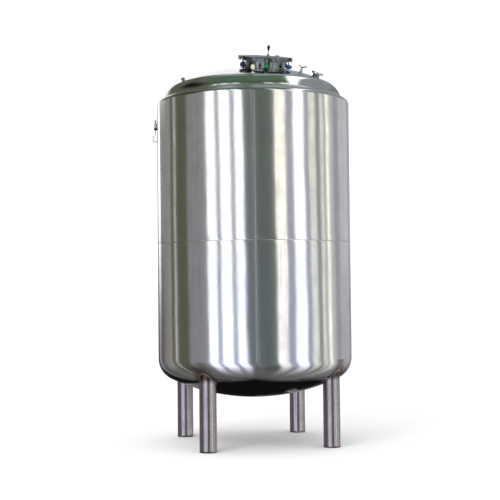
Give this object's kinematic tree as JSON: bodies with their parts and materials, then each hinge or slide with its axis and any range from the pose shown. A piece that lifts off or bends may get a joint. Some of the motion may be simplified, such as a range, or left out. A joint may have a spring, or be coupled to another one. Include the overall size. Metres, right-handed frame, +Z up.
{
  "type": "insulated stainless steel storage tank",
  "caption": "Upright round steel process tank with dished ends on plain pipe legs, a hinged round manway lid held by swing bolts, and small fittings on its dome.",
  "frame": {"origin": "on the floor under the tank's axis", "axes": "+Z up along the tank's axis, -Y towards the front, +X to the right seen from the front"},
  "size_m": [2.0435, 2, 4.021],
  "materials": {
    "steel": "satin rolled sheet, fine vertical streaks",
    "polished_steel": "polished",
    "dull_steel": "dull, dirty at the feet",
    "black_plastic": "semi gloss",
    "green_plastic": "semi gloss",
    "blue_plastic": "semi gloss",
    "navy_plastic": "semi gloss",
    "rubber": "matt",
    "dial_cream": "matt"
  },
  "bodies": {
    "tank": {"jacket_lower_right": "steel", "jacket_lower_left": "steel", "jacket_upper_right": "steel", "jacket_upper_left": "steel", "shoulder_ring": "steel", "jacket_bottom": "steel", "vessel_wall": "steel", "vessel_bottom": "steel", "manway_ring": "steel", "hinge_bracket": "steel", "port_clamp": "steel", "gauge_stem": "steel", "vent_valve": "steel", "side_fitting": "steel", "side_hook": "steel", "top_head": "polished_steel", "manway_neck": "polished_steel", "port_stub": "polished_steel", "port_cap": "polished_steel", "small_plug": "polished_steel", "leg_front_left": "dull_steel", "leg_front_right": "dull_steel", "leg_back_right": "dull_steel", "leg_back_left": "dull_steel", "gauge_case": "dull_steel", "side_knob": "black_plastic", "manway_gasket": "rubber", "gauge_dial": "dial_cream"},
    "lid": {"manway_lid": "polished_steel", "lid_handle": "steel", "lid_knob": "black_plastic", "hinge_arm": "steel"},
    "wing": {"wing_handle": "dull_steel"},
    "bolt_1": {"swing_bolt_1": "steel", "bolt_knob_1": "green_plastic"},
    "bolt_2": {"swing_bolt_2": "steel", "bolt_knob_2": "blue_plastic"},
    "bolt_3": {"swing_bolt_3": "steel", "bolt_knob_3": "blue_plastic"},
    "bolt_4": {"swing_bolt_4": "steel", "bolt_knob_4": "green_plastic"},
    "bolt_5": {"swing_bolt_5": "steel", "bolt_knob_5": "navy_plastic"},
    "bolt_6": {"swing_bolt_6": "steel", "bolt_knob_6": "navy_plastic"}
  },
  "joints": [
    {"name": "lid_hinge", "type": "hinge", "parent": "tank", "child": "lid", "pos_m": [0.27229, -0.21151, 3.95859], "axis": [-0.8889, 0.4246, 0.1719], "range_deg": [0, 105]},
    {"name": "bolt_1_swing", "type": "hinge", "parent": "tank", "child": "bolt_1", "pos_m": [0.14436, -0.72719, 3.82041], "axis": [-0.9963, -0.0676, 0.0528], "range_deg": [0, 165.4]},
    {"name": "bolt_2_swing", "type": "hinge", "parent": "tank", "child": "bolt_2", "pos_m": [0.36024, -0.58745, 3.84115], "axis": [-0.453, -0.8706, -0.1921], "range_deg": [0, 169.9]},
    {"name": "bolt_3_swing", "type": "hinge", "parent": "tank", "child": "bolt_3", "pos_m": [0.34679, -0.33816, 3.90626], "axis": [0.5433, -0.803, -0.245], "range_deg": [0, 184.8]},
    {"name": "bolt_4_swing", "type": "hinge", "parent": "tank", "child": "bolt_4", "pos_m": [0.11745, -0.22861, 3.95061], "axis": [0.9963, 0.0676, -0.0528], "range_deg": [0, 194.6]},
    {"name": "bolt_5_swing", "type": "hinge", "parent": "tank", "child": "bolt_5", "pos_m": [-0.09843, -0.36836, 3.92987], "axis": [0.453, 0.8706, 0.1921], "range_deg": [0, 190.1]},
    {"name": "bolt_6_swing", "type": "hinge", "parent": "tank", "child": "bolt_6", "pos_m": [-0.08498, -0.61764, 3.86477], "axis": [-0.5433, 0.803, 0.245], "range_deg": [0, 175.2]},
    {"name": "wing_turn", "type": "hinge", "parent": "tank", "child": "wing", "pos_m": [0.49816, -0.51251, 3.78493], "axis": [0.2627, -0.2703, 0.9263], "range_deg": [0, 90]}
  ]
}
